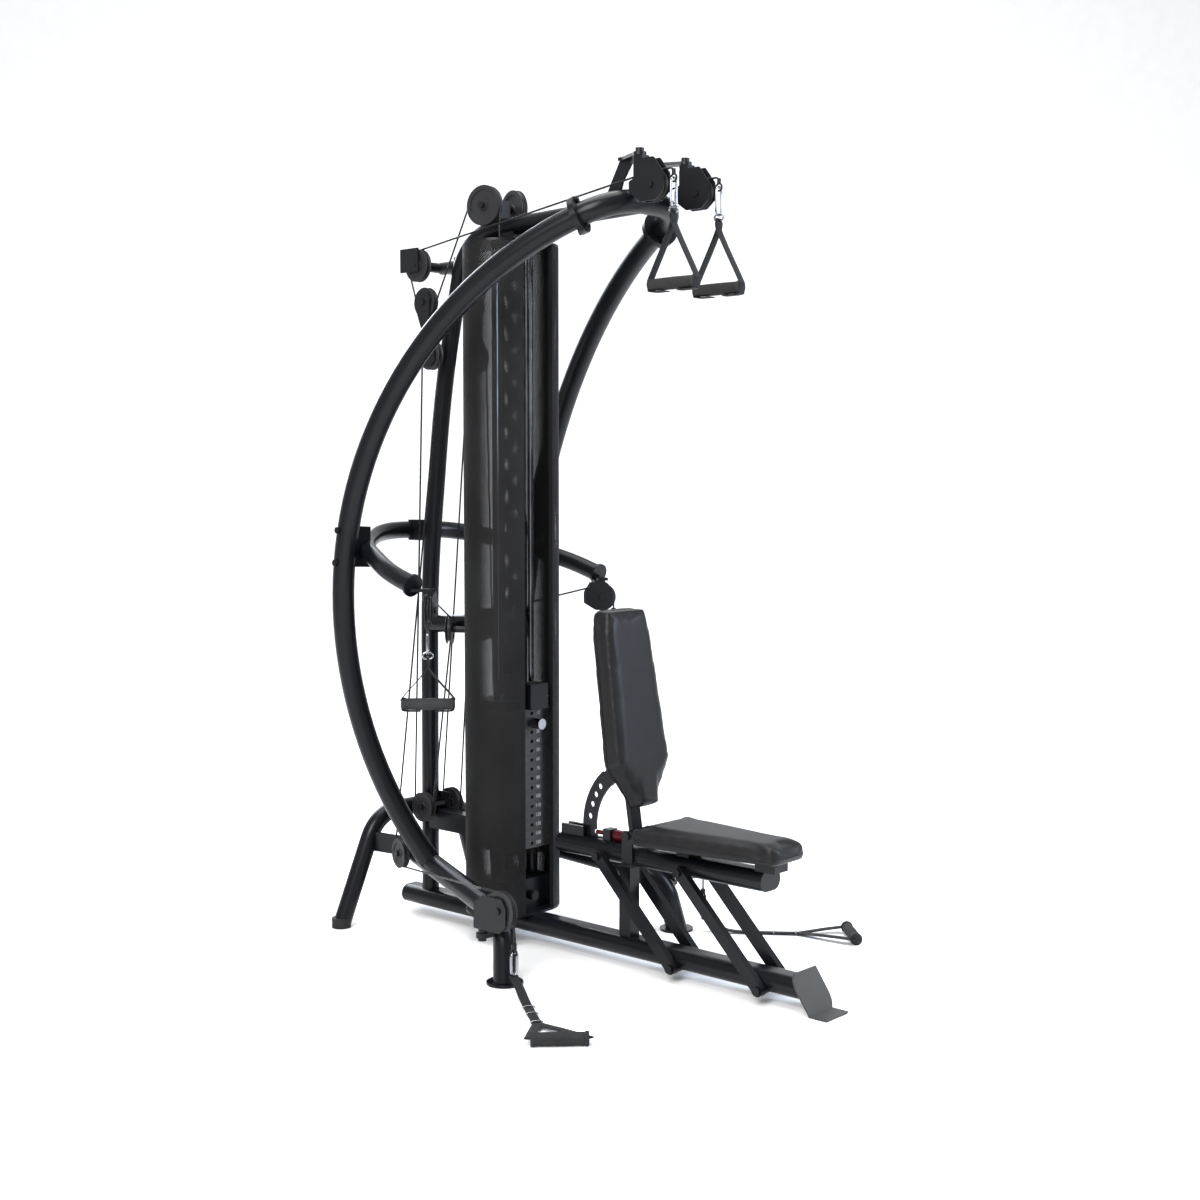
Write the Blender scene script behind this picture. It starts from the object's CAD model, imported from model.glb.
from math import cos, pi, radians, sin

import bmesh
import bpy
from mathutils import Matrix, Vector


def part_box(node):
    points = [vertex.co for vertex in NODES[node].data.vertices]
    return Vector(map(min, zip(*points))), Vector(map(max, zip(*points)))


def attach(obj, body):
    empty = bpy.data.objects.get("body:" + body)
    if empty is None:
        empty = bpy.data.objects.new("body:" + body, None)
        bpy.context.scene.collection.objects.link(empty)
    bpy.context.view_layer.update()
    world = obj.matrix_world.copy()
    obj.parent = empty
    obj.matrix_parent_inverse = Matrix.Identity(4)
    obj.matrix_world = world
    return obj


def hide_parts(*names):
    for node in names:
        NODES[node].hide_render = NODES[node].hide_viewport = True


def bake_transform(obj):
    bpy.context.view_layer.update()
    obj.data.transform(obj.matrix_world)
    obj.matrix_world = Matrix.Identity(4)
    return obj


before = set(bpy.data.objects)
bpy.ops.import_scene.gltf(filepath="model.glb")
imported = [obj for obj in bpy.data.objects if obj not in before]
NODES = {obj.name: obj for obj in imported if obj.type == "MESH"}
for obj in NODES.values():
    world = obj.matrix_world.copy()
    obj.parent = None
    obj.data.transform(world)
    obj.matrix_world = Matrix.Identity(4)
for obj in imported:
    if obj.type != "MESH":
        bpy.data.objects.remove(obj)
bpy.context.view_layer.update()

UP = Vector((0, 0, 1))

# ---------------------------------------------------------------- materials


class Nodes:
    """Short way to build one procedural material."""

    def __init__(self, name):
        self.material = bpy.data.materials.new(name)
        self.material.use_nodes = True
        self.tree = self.material.node_tree
        self.shader = self.tree.nodes["Principled BSDF"]
        self.output = self.tree.nodes["Material Output"]
        self.place = self.add("ShaderNodeTexCoord").outputs["Object"]

    def add(self, kind, inputs=None, **settings):
        node = self.tree.nodes.new(kind)
        for key, value in settings.items():
            setattr(node, key, value)
        for key, value in (inputs or {}).items():
            if isinstance(value, bpy.types.NodeSocket):
                self.tree.links.new(value, node.inputs[key])
            else:
                node.inputs[key].default_value = value
        return node

    def noise(self, scale, detail=4.0, rough=0.5, place=None):
        inputs = {"Vector": place or self.place, "Scale": scale, "Detail": detail,
                  "Roughness": rough}
        return self.add("ShaderNodeTexNoise", inputs).outputs["Fac"]

    def ramp(self, value, stops):
        node = self.add("ShaderNodeValToRGB", {"Fac": value})
        ends = node.color_ramp.elements
        while len(ends) < len(stops):
            ends.new(0.5)
        for end, (spot, colour) in zip(ends, stops):
            end.position = spot
            end.color = (*colour, 1.0)
        return node.outputs["Color"]

    def math(self, how, a, b=0.0):
        return self.add("ShaderNodeMath", {0: a, 1: b}, operation=how).outputs[0]

    def link(self, value, socket):
        self.tree.links.new(value, self.shader.inputs[socket])

    def bump(self, height, strength, distance):
        inputs = {"Height": height, "Strength": strength, "Distance": distance}
        self.link(self.add("ShaderNodeBump", inputs).outputs["Normal"], "Normal")

    def spread(self, value, low, high):
        inputs = {"Value": value, "To Min": low, "To Max": high}
        return self.add("ShaderNodeMapRange", inputs).outputs[0]


def mixed(nodes, factor, dark, light):
    return nodes.ramp(factor, [(0.3, dark), (0.7, light)])


def powder_coat(name, dark, light, gloss, grain=900.0, coat=0.04):
    """Powder-coated steel: fine orange peel, faint mottling and soft dust."""
    m = Nodes(name)
    m.link(mixed(m, m.noise(6.0, 6.0), dark, light), "Base Color")
    m.link(m.spread(m.noise(18.0, 3.0), gloss - 0.02, gloss + 0.03), "Roughness")
    m.bump(m.noise(grain, 2.0), 0.05, 0.0003)
    m.shader.inputs["Specular IOR Level"].default_value = 0.16
    m.shader.inputs["Coat Weight"].default_value = coat
    m.shader.inputs["Coat Roughness"].default_value = 0.2
    return m.material


def perforated(name, dark, light):
    """Perforated sheet: a staggered grid of round holes wrapped round the shroud's axes."""
    m = Nodes(name)
    parts = m.add("ShaderNodeSeparateXYZ", {0: m.place}).outputs
    across = m.math("SUBTRACT", m.math("ABSOLUTE", parts[0]), 0.0375)
    turn = m.math("ARCTAN2", across, m.math("SUBTRACT", parts[1], 0.328))
    around = m.math("MULTIPLY", turn, 0.106)
    grid = m.add("ShaderNodeCombineXYZ", {0: around, 1: parts[2]}).outputs[0]
    stagger = {"Vector": grid, "Rotation": (0.0, 0.0, radians(45.0))}
    staggered = m.add("ShaderNodeMapping", stagger).outputs[0]
    dots = m.add("ShaderNodeTexVoronoi", {"Vector": staggered, "Scale": 290.0, "Randomness": 0.0},
                 voronoi_dimensions="2D").outputs["Distance"]
    rim = {"Value": dots, "From Min": 0.19, "From Max": 0.27}
    solid = m.add("ShaderNodeMapRange", rim).outputs[0]
    m.link(mixed(m, m.noise(5.0, 5.0), dark, light), "Base Color")
    m.link(m.spread(m.noise(60.0), 0.55, 0.7), "Roughness")
    m.bump(solid, 0.3, 0.001)
    m.link(solid, "Alpha")
    m.shader.inputs["Specular IOR Level"].default_value = 0.12
    return m.material


def chrome(name):
    """Polished plating with faint drawn lines and smudges."""
    m = Nodes(name)
    long = m.add("ShaderNodeMapping", {"Vector": m.place, "Scale": (1.0, 1.0, 0.02)}).outputs[0]
    m.link(mixed(m, m.noise(14.0), (0.16, 0.165, 0.18), (0.34, 0.35, 0.37)), "Base Color")
    m.link(m.spread(m.noise(120.0, 4.0, 0.6, long), 0.08, 0.2), "Roughness")
    m.bump(m.noise(500.0, 2.0, 0.5, long), 0.04, 0.0003)
    m.shader.inputs["Metallic"].default_value = 1.0
    return m.material


def vinyl(name):
    """Upholstery vinyl: pebbled leather grain and a soft sheen."""
    m = Nodes(name)
    cells = m.add("ShaderNodeTexVoronoi", {"Vector": m.place, "Scale": 620.0}).outputs["Distance"]
    crease = m.noise(26.0, 6.0, 0.6)
    height = m.math("ADD", m.math("MULTIPLY", cells, 0.5), m.math("MULTIPLY", crease, 0.35))
    m.link(mixed(m, crease, (0.0040, 0.0040, 0.0046), (0.0062, 0.0062, 0.0070)), "Base Color")
    m.link(m.spread(cells, 0.34, 0.5), "Roughness")
    m.bump(height, 0.35, 0.0007)
    m.shader.inputs["Specular IOR Level"].default_value = 0.22
    return m.material


def moulded(name, dark, light, gloss, bump=0.1, grain=700.0):
    """Moulded plastic or rubber with a spark-eroded grain."""
    m = Nodes(name)
    m.link(mixed(m, m.noise(12.0, 5.0), dark, light), "Base Color")
    m.link(m.spread(m.noise(45.0, 4.0), gloss - 0.06, gloss + 0.08), "Roughness")
    m.bump(m.noise(grain, 3.0), bump, 0.0004)
    m.shader.inputs["Specular IOR Level"].default_value = 0.2
    return m.material


def woven(name, dark, light):
    """Nylon webbing: crossed ribs of a tight weave."""
    m = Nodes(name)
    warp = m.add("ShaderNodeTexWave", {"Vector": m.place, "Scale": 260.0, "Distortion": 1.2},
                 bands_direction="X").outputs["Fac"]
    weft = m.add("ShaderNodeTexWave", {"Vector": m.place, "Scale": 200.0, "Distortion": 1.2},
                 bands_direction="Z").outputs["Fac"]
    weave = m.math("MULTIPLY", warp, weft)
    m.link(mixed(m, weave, dark, light), "Base Color")
    m.link(m.spread(weave, 0.62, 0.82), "Roughness")
    m.bump(weave, 0.5, 0.0008)
    m.shader.inputs["Specular IOR Level"].default_value = 0.15
    m.shader.inputs["Sheen Weight"].default_value = 0.02
    return m.material


def cast(name, dark, light):
    """Painted cast iron: coarse sand-cast texture."""
    m = Nodes(name)
    rough = m.noise(240.0, 6.0, 0.65)
    m.link(mixed(m, m.noise(9.0, 6.0), dark, light), "Base Color")
    m.link(m.spread(rough, 0.42, 0.66), "Roughness")
    m.bump(rough, 0.3, 0.0012)
    return m.material


FRAME_BLACK = powder_coat("frame_black", (0.0034, 0.0036, 0.0052), (0.0048, 0.0051, 0.0072), 0.28)
BRACKET_BLACK = powder_coat("bracket_black", (0.0060, 0.0062, 0.0078),
                            (0.0085, 0.0088, 0.0108), 0.36)
PLATE_GREY = powder_coat("plate_grey", (0.036, 0.036, 0.035), (0.054, 0.054, 0.051), 0.5,
                         500.0, 0.02)
MESH_GREY = perforated("mesh_grey", (0.0065, 0.0065, 0.0068), (0.0110, 0.0110, 0.0114))
CHROME = chrome("chrome")
VINYL = vinyl("vinyl_black")
RUBBER = moulded("rubber_black", (0.010, 0.010, 0.010), (0.019, 0.019, 0.019), 0.62, 0.25)
FOAM = moulded("grip_foam", (0.013, 0.013, 0.013), (0.024, 0.024, 0.024), 0.74, 0.5, 320.0)
NYLON = moulded("wheel_nylon", (0.011, 0.011, 0.012), (0.020, 0.020, 0.022), 0.4)
CABLE = moulded("cable_black", (0.008, 0.008, 0.009), (0.015, 0.015, 0.017), 0.26)
KNOB_RED = moulded("knob_red", (0.038, 0.002, 0.004), (0.060, 0.003, 0.006), 0.3)
WEBBING = woven("webbing_black", (0.008, 0.008, 0.008), (0.030, 0.030, 0.031))
CAST_IRON = cast("plate_iron", (0.010, 0.010, 0.011), (0.020, 0.020, 0.021))
MARK_WHITE = moulded("mark_white", (0.22, 0.22, 0.22), (0.32, 0.32, 0.31), 0.55)


def node_material(name):
    """The material that a CAD node carries."""
    special = {"shrouds": MESH_GREY, "floor_plate": PLATE_GREY, "rubber_parts": RUBBER,
               "recline_pin": KNOB_RED, "selector_pin": CHROME, "guide_rods": CHROME,
               "weight_plates": CAST_IRON, "lifted_plates": CAST_IRON, "seat_pad": VINYL,
               "back_pad": VINYL}
    if name in special:
        return special[name]
    for word, material in (("cables", CABLE), ("wheel", NYLON), ("handle", WEBBING),
                           ("housing", BRACKET_BLACK), ("bracket", BRACKET_BLACK),
                           ("floating_blocks", BRACKET_BLACK)):
        if word in name:
            return material
    return FRAME_BLACK


for node_name, node in NODES.items():
    node.data.materials.clear()
    node.data.materials.append(node_material(node_name))


# ---------------------------------------------------------------- mesh helpers


def piece(name, mesh, body, material, smooth=True):
    """A finished piece in the row frame, riding on a body."""
    obj = bpy.data.objects.new(name, mesh)
    bpy.context.scene.collection.objects.link(obj)
    if not obj.data.materials:
        obj.data.materials.append(material)
    if smooth and isinstance(mesh, bpy.types.Mesh):
        mesh.polygons.foreach_set("use_smooth", [True] * len(mesh.polygons))
    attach(obj, body)
    return obj


def from_bmesh(name, form):
    mesh = bpy.data.meshes.new(name)
    form.normal_update()
    bmesh.ops.recalc_face_normals(form, faces=form.faces)
    form.to_mesh(mesh)
    form.free()
    return mesh


def swept(name, points, section, closed=False, across=None):
    """Mesh tube: a section of (side, up) offsets carried along points."""
    form = bmesh.new()
    rings = []
    count = len(points)
    for i, here in enumerate(points):
        before = points[i - 1] if i or closed else points[0]
        after = points[(i + 1) % count] if i + 1 < count or closed else points[-1]
        along = (after - before).normalized()
        side = across or along.cross(UP)
        side = (side - along * side.dot(along)).normalized()
        up = side.cross(along)
        rings.append([form.verts.new(here + side * a + up * b) for a, b in section])
    size = len(section)
    for i in range(count if closed else count - 1):
        first, second = rings[i], rings[(i + 1) % count]
        for j in range(size):
            k = (j + 1) % size
            form.faces.new((first[j], first[k], second[k], second[j]))
    if not closed:
        form.faces.new(rings[0])
        form.faces.new(list(reversed(rings[-1])))
    return from_bmesh(name, form)


def ring_section(radius, sides=12):
    turns = [2 * pi * i / sides for i in range(sides)]
    return [(radius * cos(turn), radius * sin(turn)) for turn in turns]


def oval(centre, wide, tall, half_wide, half_tall, steps=24):
    """Points of an ellipse about centre."""
    turns = [2 * pi * i / steps for i in range(steps)]
    return [centre + wide * (half_wide * cos(turn)) + tall * (half_tall * sin(turn))
            for turn in turns]


def strap_section(width, thick):
    """Webbing in section: flat, with rounded selvedges."""
    half, t = width / 2, thick / 2
    return [(-half, 0.0), (-half + t, -t), (0.0, -t * 1.15), (half - t, -t), (half, 0.0),
            (half - t, t), (0.0, t * 1.15), (-half + t, t)]


def smooth_line(points, steps=8):
    """Catmull-Rom line through hand-placed points."""
    ends = [points[0] * 2 - points[1], *points, points[-1] * 2 - points[-2]]
    line = []
    for a, b, c, d in zip(ends, ends[1:], ends[2:], ends[3:]):
        for i in range(steps):
            t = i / steps
            line.append(0.5 * ((2 * b) + (c - a) * t + (2 * a - 5 * b + 4 * c - d) * t ** 2
                               + (3 * b - a - 3 * c + d) * t ** 3))
    return line + [points[-1]]


def turned(name, centre, axis, profile, sides=40):
    """Solid of revolution: profile is (distance along the axis, radius)."""
    side = axis.orthogonal().normalized()
    up = axis.cross(side)
    form = bmesh.new()
    rings = []
    for along, radius in profile:
        ring = []
        for i in range(sides):
            turn = 2 * pi * i / sides
            spoke = side * cos(turn) + up * sin(turn)
            ring.append(form.verts.new(centre + axis * along + spoke * radius))
        rings.append(ring)
    for first, second in zip(rings, rings[1:]):
        for j in range(sides):
            k = (j + 1) % sides
            form.faces.new((first[j], first[k], second[k], second[j]))
    form.faces.new(rings[0])
    form.faces.new(list(reversed(rings[-1])))
    return from_bmesh(name, form)


# ---------------------------------------------------------------- pads

PAD_VOXEL = 0.005       # remesh size
PAD_SHRINK = 0.004      # the pad starts this much inside its CAD solid, then swells
PAD_CAP = 0.006         # furthest that a point may swell
PAD_BOARD = 0.014       # depth of the part held by the board
PAD_PRESSURE = 4.0
PAD_ROUND = 36          # smoothing passes before the simulation
PAD_RELAX = 12          # smoothing passes after it
PAD_FRAMES = 20


def applied(obj):
    """The object's mesh with its modifiers applied."""
    graph = bpy.context.evaluated_depsgraph_get()
    return bpy.data.meshes.new_from_object(obj.evaluated_get(graph))


def cushion(node_name, body, back_dir):
    """Puffed pad from its CAD solid; it stays flat on the board side, which faces back_dir."""
    obj = bpy.data.objects.new("sim_" + node_name, NODES[node_name].data.copy())
    bpy.context.scene.collection.objects.link(obj)
    remesh = obj.modifiers.new("remesh", "REMESH")
    remesh.mode = "VOXEL"
    remesh.voxel_size = PAD_VOXEL
    rounding = obj.modifiers.new("rounding", "SMOOTH")
    rounding.factor = 0.5
    rounding.iterations = PAD_ROUND
    obj.data = applied(obj)
    obj.modifiers.clear()
    for vertex in obj.data.vertices:
        facing = vertex.normal.dot(back_dir)
        inward = vertex.normal - back_dir * facing + back_dir * min(facing, 0.0)
        vertex.co -= inward * PAD_SHRINK
    start = [vertex.co.copy() for vertex in obj.data.vertices]
    far = max(point.dot(back_dir) for point in start)
    group = obj.vertex_groups.new(name="board")
    held = [i for i, point in enumerate(start) if far - point.dot(back_dir) < PAD_BOARD]
    group.add(held, 1.0, "REPLACE")
    cloth = obj.modifiers.new("cloth", "CLOTH")
    cloth.settings.use_pressure = True
    cloth.settings.uniform_pressure_force = PAD_PRESSURE
    cloth.settings.effector_weights.gravity = 0.0
    cloth.settings.vertex_group_mass = "board"
    cloth.settings.quality = 5
    cloth.point_cache.frame_end = PAD_FRAMES
    for number in range(1, PAD_FRAMES + 1):
        bpy.context.scene.frame_set(number)
    swollen = applied(obj)
    for vertex, origin in zip(swollen.vertices, start):
        move = vertex.co - origin
        if move.length > PAD_CAP:
            vertex.co = origin + move.normalized() * PAD_CAP
    bpy.context.scene.frame_set(1)
    mesh = swollen
    bpy.data.objects.remove(obj)
    mesh.materials.clear()
    pad = piece(node_name + "_cushion", mesh, body, VINYL)
    relax = pad.modifiers.new("relax", "SMOOTH")
    relax.iterations = PAD_RELAX
    relax.factor = 0.5
    level = pad.modifiers.new("level", "SUBSURF")
    level.levels = 1
    level.render_levels = 1
    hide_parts(node_name)
    return pad


HINGE = Vector((0.0, -0.140, 0.355))
LEAN = radians(9.4)
PAD_BACK = Vector((0.0, cos(LEAN), -sin(LEAN)))
SEAT_CUSHION = cushion("seat_pad", "seat", -UP)
BACK_CUSHION = cushion("back_pad", "back", PAD_BACK)

SEAM_RADIUS = 0.0014
SEAM_RISE = 0.0006
SEAT_SEAM_LEVEL = 0.365
BACK_SEAM_DEPTH = 0.014


def seam(name, pad, level, up, body):
    """Sewn seam round a pad: a thin welt laid on the pad's outline at one level."""
    form = bmesh.new()
    form.from_mesh(applied(pad))
    cut = bmesh.ops.bisect_plane(form, geom=form.verts[:] + form.edges[:] + form.faces[:],
                                 plane_co=level, plane_no=up, clear_inner=True, clear_outer=True)
    edges = [item for item in cut["geom_cut"] if isinstance(item, bmesh.types.BMEdge)]
    near = {}
    for edge in edges:
        for vertex, other in (edge.verts, reversed(edge.verts)):
            near.setdefault(vertex, []).append(other)
    start = min(near, key=lambda vertex: (round(vertex.co.x, 5), vertex.co.y, vertex.co.z))
    line, here, before = [], start, None
    while here is not None and len(line) < len(near):
        line.append(here.co.copy())
        ahead = [other for other in near[here] if other is not before]
        before, here = here, (ahead[0] if ahead and ahead[0] is not start else None)
    form.free()
    middle = sum(line, Vector()) / len(line)
    line = [spot + (spot - middle).normalized() * SEAM_RISE for spot in line[::2]]
    mesh = swept(name, line, ring_section(SEAM_RADIUS, 8), True, up)
    piece(name, mesh, body, VINYL)


seam("seat_seam", SEAT_CUSHION, UP * SEAT_SEAM_LEVEL, UP, "seat")
seam("back_seam", BACK_CUSHION, HINGE - PAD_BACK * BACK_SEAM_DEPTH, -PAD_BACK, "back")

# ---------------------------------------------------------------- handles


STRAP_WIDTH = 0.025


def snap_hook(name, eye, across, length, body):
    """Long steel link with rounded ends, hanging in the cable eye."""
    half, wire = 0.0105, 0.0034
    low = eye - Vector((0, 0, length))
    line = []
    for centre, start in ((eye - Vector((0, 0, half)), 0.0), (low + Vector((0, 0, half)), pi)):
        for i in range(13):
            turn = start + pi * i / 12
            line.append(centre + across * (half * cos(turn)) + Vector((0, 0, half * sin(turn))))
    normal = across.cross(UP)
    piece(name, swept(name, line, ring_section(wire), True, normal), body, CHROME)


def grip(name, centre, axis, length, body, node_name):
    """Foam hand grip with end collars; it stands for the CAD handle."""
    half = length / 2
    profile = [(-half - 0.003, 0.0125), (-half - 0.003, 0.0165), (-half + 0.002, 0.0172),
               (-half + 0.006, 0.0168), (-half + 0.007, 0.0148), (-half + 0.02, 0.0152),
               (0.0, 0.0158), (half - 0.02, 0.0152), (half - 0.007, 0.0148), (half - 0.006, 0.0168),
               (half - 0.002, 0.0172), (half + 0.003, 0.0165), (half + 0.003, 0.0125)]
    obj = piece(name, turned(name, centre, axis, profile), body, FOAM)
    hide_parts(node_name)
    return obj


def hanging_handle(node_name, eye, drop, length, along, across, link):
    """Link, ring bar, webbing loop and grip below one eye."""
    body = node_name
    snap_hook(node_name + "_hook", eye, across, link, body)
    ring = eye - Vector((0, 0, link + 0.006))
    hoop = oval(ring, along, UP, 0.014, 0.009)
    mesh = swept("ring", hoop, ring_section(0.0024), True, across)
    piece(node_name + "_ring", mesh, body, CHROME)
    centre = eye - Vector((0, 0, drop))
    reach = length / 2 + 0.0035
    for word, way in (("a", -1), ("b", 1)):
        edge = centre + along * (way * reach)
        out = along * way
        route = [ring - UP * 0.002 + out * 0.0016, ring - UP * 0.034 + out * 0.0022,
                 edge + UP * 0.02 - out * 0.004, edge + UP * 0.008, edge - UP * 0.010,
                 edge - UP * 0.0175 - out * 0.007, centre - UP * 0.0185 + out * 0.02]
        name = f"{node_name}_strap_{word}"
        mesh = swept(name, smooth_line(route), strap_section(STRAP_WIDTH, 0.0024), False, across)
        piece(name, mesh, body, WEBBING)
    grip(node_name + "_grip", centre, along, length, body, node_name)


def floor_handle(node_name, side):
    """Handle lying on the floor below the low station; side is -1 on the left."""
    body = node_name
    x = side * 0.381
    snap_hook(node_name + "_hook", Vector((x, -0.0548, 0.1)), Vector((1, 0, 0)), 0.056, body)
    fork = Vector((x + side * 0.150, -0.281, 0.0050))
    route = [Vector((x, -0.052, 0.041)), Vector((x + side * 0.004, -0.062, 0.034)),
             Vector((x + side * 0.020, -0.096, 0.018)), Vector((x + side * 0.042, -0.132, 0.0060)),
             Vector((x + side * 0.095, -0.205, 0.0040)), fork]
    name = node_name + "_lead"
    piece(name, swept(name, smooth_line(route), strap_section(STRAP_WIDTH, 0.003)), body, WEBBING)
    ends = (Vector((x + side * 0.265, -0.365, 0.0165)), Vector((x + side * 0.166, -0.465, 0.0165)))
    for word, end in zip("ab", ends):
        middle = fork.lerp(end, 0.5) + Vector((0, 0, 0.001))
        name = f"{node_name}_fork_{word}"
        line = smooth_line([fork, middle, end])
        mesh = swept(name, line, strap_section(STRAP_WIDTH, 0.0026))
        piece(name, mesh, body, WEBBING)
    for number, share in enumerate((0.35, 0.62, 0.96)):
        spot = route[3].lerp(fork, share)
        heading = (fork - route[3]).normalized()
        wide = heading.cross(UP).normalized()
        flat = wide.cross(heading)
        loop = oval(spot + UP * 0.001, wide, flat, 0.0150, 0.0042)
        mesh = swept("slide", loop, ring_section(0.0016), True, heading)
        piece(f"{node_name}_slide_{number}", mesh, body, CHROME)
    axis = (ends[0] - ends[1]).normalized()
    grip(node_name + "_grip", (ends[0] + ends[1]) / 2, axis, 0.128, body, node_name)


MID_FRONT = Vector((-0.367241, 0.273344, 0.887))
for word, side in (("left", -1), ("right", 1)):
    hanging_handle(f"high_handle_{word}", Vector((side * 0.090, -0.326, 2.022)), 0.255, 0.140,
                   Vector((0, 1, 0)), Vector((1, 0, 0)), 0.070)
    along = Vector((0.666, 0.746 * side, 0.0)).normalized()
    eye = Vector((-side * MID_FRONT.x, MID_FRONT.y, MID_FRONT.z))
    hanging_handle(f"mid_handle_{word}", eye, 0.189, 0.130, along,
                   Vector((along.y, -along.x, 0.0)), 0.056)
    floor_handle(f"low_handle_{word}", side)

# ---------------------------------------------------------------- cable runs that change length

CABLE_RINGS = 24


def stretching(node_name):
    """Cable run with rings along it: one end stays put, the other moves with body."""
    low, high = (Vector(corner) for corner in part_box(node_name))
    form = bmesh.new()
    form.from_mesh(NODES[node_name].data)
    for number in range(1, CABLE_RINGS):
        level = Vector((0, 0, low.z + (high.z - low.z) * number / CABLE_RINGS))
        bmesh.ops.bisect_plane(form, geom=form.verts[:] + form.edges[:] + form.faces[:],
                               plane_co=level, plane_no=UP)
    mesh = from_bmesh(node_name + "_run", form)
    obj = bpy.data.objects.new(node_name + "_run", mesh)
    bpy.context.scene.collection.objects.link(obj)
    obj.data.materials.append(CABLE)
    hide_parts(node_name)
    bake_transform(obj)


stretching("lift_cables")
stretching("rear_block_cables")
stretching("front_block_cables")
stretching("low_block_cables")

# ---------------------------------------------------------------- small detail

PLATE_BASE, PLATE_PITCH, PLATE_COUNT, PLATE_THICK = 0.258, 0.02613, 15, 0.0256


def plate_mark(index, body):
    """Generic weight number on a plate's front edge."""
    text = bpy.data.curves.new(f"mark_{index:02d}", "FONT")
    text.body = str(10 * (PLATE_COUNT - index))
    text.size = 0.014
    text.extrude = 0.0003
    text.align_x = "CENTER"
    text.align_y = "CENTER"
    shape = bpy.data.objects.new("text", text)
    bpy.context.scene.collection.objects.link(shape)
    mesh = applied(shape)
    bpy.data.objects.remove(shape)
    middle = PLATE_BASE + index * PLATE_PITCH + PLATE_THICK / 2
    mesh.transform(Matrix.Translation((0.024, 0.2517, middle)) @ Matrix.Rotation(pi / 2, 4, "X"))
    mesh.materials.clear()
    piece(f"plate_mark_{index:02d}", mesh, body, MARK_WHITE, smooth=False)


for index in range(PLATE_COUNT):
    plate_mark(index, "stack" if index >= PLATE_COUNT - 2 else "frame")

# ---------------------------------------------------------------- stage


FLOOR_GAP = 0.0006


def backdrop():
    """Pale floor, flat under the object, that curves up into a pale wall."""
    floor_end, bend, wall_top, steps = 4.5, 2.5, 9.0, 16
    outline = [(-9.0, 0.0)]
    outline += [(floor_end + bend * sin(pi / 2 * i / steps), bend * (1 - cos(pi / 2 * i / steps)))
                for i in range(steps + 1)]
    outline.append((floor_end + bend, wall_top))
    view = Vector((0.744, 0.668, 0.0))
    side = Vector((view.y, -view.x, 0.0))
    form = bmesh.new()
    rows = [[form.verts.new(view * out + side * across + UP * (high - FLOOR_GAP))
             for across in (-14.0, 14.0)] for out, high in outline]
    for first, second in zip(rows, rows[1:]):
        form.faces.new((first[0], first[1], second[1], second[0]))
    obj = bpy.data.objects.new("studio_floor", from_bmesh("studio_floor", form))
    bpy.context.scene.collection.objects.link(obj)
    obj.data.polygons.foreach_set("use_smooth", [True] * len(obj.data.polygons))
    white = moulded("studio_white", (0.90, 0.90, 0.90), (0.93, 0.93, 0.93), 0.9, 0.01)
    obj.data.materials.append(white)


def area_light(name, place, target, size, power, colour=(1.0, 1.0, 1.0)):
    light = bpy.data.lights.new(name, "AREA")
    light.shape = "RECTANGLE"
    light.size, light.size_y = size
    light.energy = power
    light.color = colour
    obj = bpy.data.objects.new(name, light)
    bpy.context.scene.collection.objects.link(obj)
    obj.location = place
    obj.rotation_euler = (Vector(target) - Vector(place)).to_track_quat("-Z", "Y").to_euler()


backdrop()
area_light("key", (-4.2, -1.2, 3.6), (0, 0.2, 1.0), (2.4, 3.0), 300.0)
area_light("rim", (2.2, -3.8, 2.8), (0, 0, 1.0), (1.6, 2.8), 230.0, (0.72, 0.82, 1.0))
area_light("top", (0.0, 0.4, 5.0), (0, 0.2, 0.5), (3.5, 3.5), 230.0)
area_light("back", (1.5, 4.6, 3.2), (0, 0.4, 1.2), (3.0, 2.4), 170.0, (0.85, 0.91, 1.0))

world = bpy.data.worlds.new("studio")
world.use_nodes = True
world.node_tree.nodes["Background"].inputs["Color"].default_value = (1.0, 1.0, 1.0, 1.0)
world.node_tree.nodes["Background"].inputs["Strength"].default_value = 0.62
bpy.context.scene.world = world
bpy.context.scene.view_settings.view_transform = "Standard"

camera = bpy.data.objects.new("camera", bpy.data.cameras.new("camera"))
bpy.context.scene.collection.objects.link(camera)
camera.data.lens = 50.0
camera.data.sensor_width = 36.0
camera.location = (-3.295, -2.960, 1.2826)
YAW, DOWN = radians(41.91), radians(4.105)
sight = Vector((cos(YAW) * cos(DOWN), sin(YAW) * cos(DOWN), -sin(DOWN)))
camera.rotation_euler = sight.to_track_quat("-Z", "Y").to_euler()
bpy.context.scene.camera = camera
